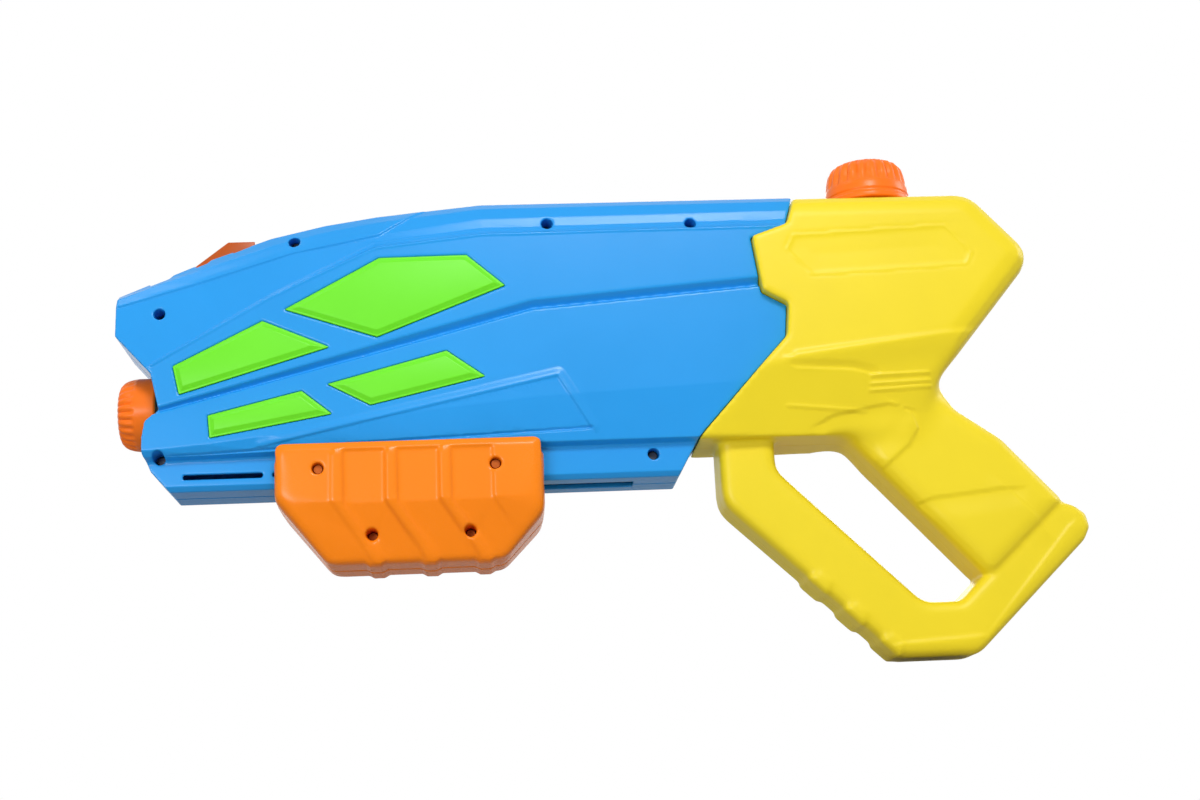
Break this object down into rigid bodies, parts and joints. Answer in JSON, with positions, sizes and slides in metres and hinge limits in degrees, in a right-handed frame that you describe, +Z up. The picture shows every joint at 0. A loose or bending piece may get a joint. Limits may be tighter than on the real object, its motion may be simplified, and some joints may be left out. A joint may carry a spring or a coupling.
{
  "type": "pump-action water squirter",
  "caption": "Pump-action toy water blaster with two-shell barrel, inlays, screw-on nozzle, sliding fore-end pump, and a blow-moulded tank with grip, hand loop and screw cap.",
  "frame": {"origin": "centre of the bounding box's bottom, level with the flat bottom of the hand loop, with the toy upright", "axes": "+Z up, -X towards the muzzle, -Y towards the side with the screw recesses"},
  "size_m": [0.5162, 0.072, 0.2779],
  "materials": {
    "blue": "satin-gloss injection-moulded",
    "green": "satin injection-moulded",
    "orange": "satin-gloss injection-moulded",
    "cap_orange": "satin injection-moulded",
    "yellow": "soft satin blow-moulded",
    "white": "natural, inner pieces",
    "rubber": "matt",
    "hose": "soft tube",
    "steel": "zinc plated",
    "dark_steel": "black zinc"
  },
  "bodies": {
    "blaster": {"left_barrel_shell": "blue", "right_barrel_shell": "blue", "left_upper_front_inlay": "green", "left_upper_rear_inlay": "green", "left_lower_front_inlay": "green", "left_lower_rear_inlay": "green", "right_upper_front_inlay": "green", "right_upper_rear_inlay": "green", "right_lower_front_inlay": "green", "right_lower_rear_inlay": "green", "top_sight": "orange", "tank": "yellow", "cylinder": "white", "cylinder_head": "white", "cylinder_rear_cap": "white", "valve_retainer": "white", "tank_grommet": "rubber", "tank_outlet": "white", "feed_tube": "hose", "pickup_tube": "hose", "foot_valve": "white", "barrel_screw_1": "dark_steel", "barrel_screw_2": "dark_steel", "barrel_screw_3": "dark_steel", "barrel_screw_4": "dark_steel", "barrel_screw_5": "dark_steel", "barrel_screw_6": "dark_steel"},
    "pump": {"left_pump_shell": "orange", "right_pump_shell": "orange", "pump_carriage": "white", "piston": "white", "piston_ring": "rubber", "piston_rod": "white", "rod_nut": "white", "left_pump_screw_1": "dark_steel", "left_pump_screw_2": "dark_steel", "right_pump_screw_1": "dark_steel", "right_pump_screw_2": "dark_steel", "pump_low_screw_1": "dark_steel", "pump_low_screw_2": "dark_steel"},
    "cap_seal": {"cap_seal": "rubber"},
    "tank_cap": {"tank_cap": "cap_orange"},
    "nozzle_seal": {"nozzle_seal": "rubber"},
    "nozzle": {"nozzle": "cap_orange"},
    "outlet_valve": {"outlet_valve": "rubber", "outlet_spring": "steel"},
    "foot_valve_ball": {"foot_valve_ball": "steel"}
  },
  "joints": [
    {"name": "pump_slide", "type": "slide", "parent": "blaster", "child": "pump", "axis": [1, 0, 0], "range_m": [-0.049, 0.051]},
    {"name": "cap_lift", "type": "slide", "parent": "blaster", "child": "cap_seal", "axis": [0, 0, 1], "range_m": [0, 0.0126]},
    {"name": "cap_turn", "type": "hinge", "parent": "cap_seal", "child": "tank_cap", "pos_m": [0.15506, 0, 0.26], "axis": [0, 0, 1], "range_deg": [0, 900]},
    {"name": "nozzle_travel", "type": "slide", "parent": "blaster", "child": "nozzle_seal", "axis": [-1, 0, 0], "range_m": [0, 0.0061]},
    {"name": "nozzle_turn", "type": "hinge", "parent": "nozzle_seal", "child": "nozzle", "pos_m": [-0.24754, 0, 0.1464], "axis": [-1, 0, 0], "range_deg": [0, 720]},
    {"name": "outlet_valve_lift", "type": "slide", "parent": "blaster", "child": "outlet_valve", "axis": [-1, 0, 0], "range_m": [0, 0.003], "stiffness_N_per_m": 60, "springref_m": -0.002},
    {"name": "foot_ball_lift", "type": "slide", "parent": "blaster", "child": "foot_valve_ball", "axis": [0, 0, 1], "range_m": [0, 0.003]}
  ],
  "couplings": [
    {"joint": "cap_lift", "follows": "cap_turn", "m_per_rad": 0.000796},
    {"joint": "nozzle_travel", "follows": "nozzle_turn", "m_per_rad": 0.000477}
  ]
}
